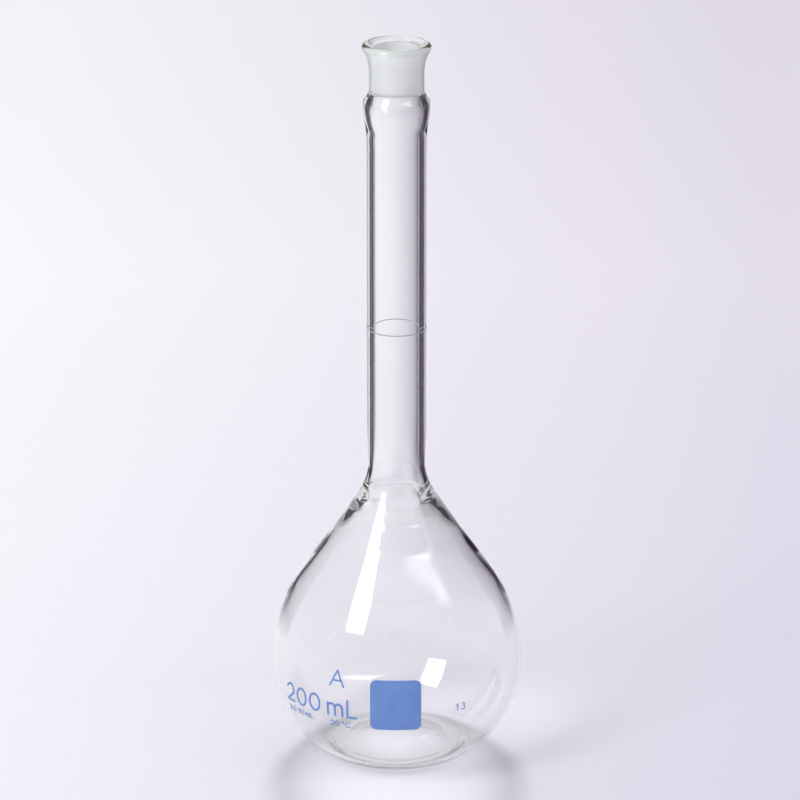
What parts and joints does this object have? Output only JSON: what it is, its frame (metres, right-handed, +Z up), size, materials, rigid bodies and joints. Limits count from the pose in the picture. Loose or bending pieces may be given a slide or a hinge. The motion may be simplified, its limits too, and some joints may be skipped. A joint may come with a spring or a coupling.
{
  "type": "volumetric flask",
  "caption": "Clear glass volumetric flask: pear-shaped bulb, long narrow neck with a full graduation ring, ground stopper socket with flared lip, and blue enamel marks.",
  "frame": {"origin": "middle of the base, on the plane that the flask stands on", "axes": "+Z up along the flask's axis, -Y towards the front with the enamel marks, +X to the right of the front"},
  "size_m": [0.0732, 0.0733, 0.2136],
  "materials": {
    "clear_glass": "clear blown borosilicate",
    "ground_glass": "clear outside, ground inside",
    "blue_enamel": "fired enamel",
    "ring_enamel": "etched line with fired stain"
  },
  "bodies": {
    "root": {"bulb": "clear_glass", "neck_tube": "clear_glass", "ground_socket": "ground_glass", "graduation_ring": "ring_enamel", "marking_patch": "blue_enamel", "capacity_mark": "blue_enamel", "class_mark": "blue_enamel", "tolerance_mark": "blue_enamel", "temperature_mark": "blue_enamel", "stopper_size_mark": "blue_enamel"}
  },
  "joints": []
}
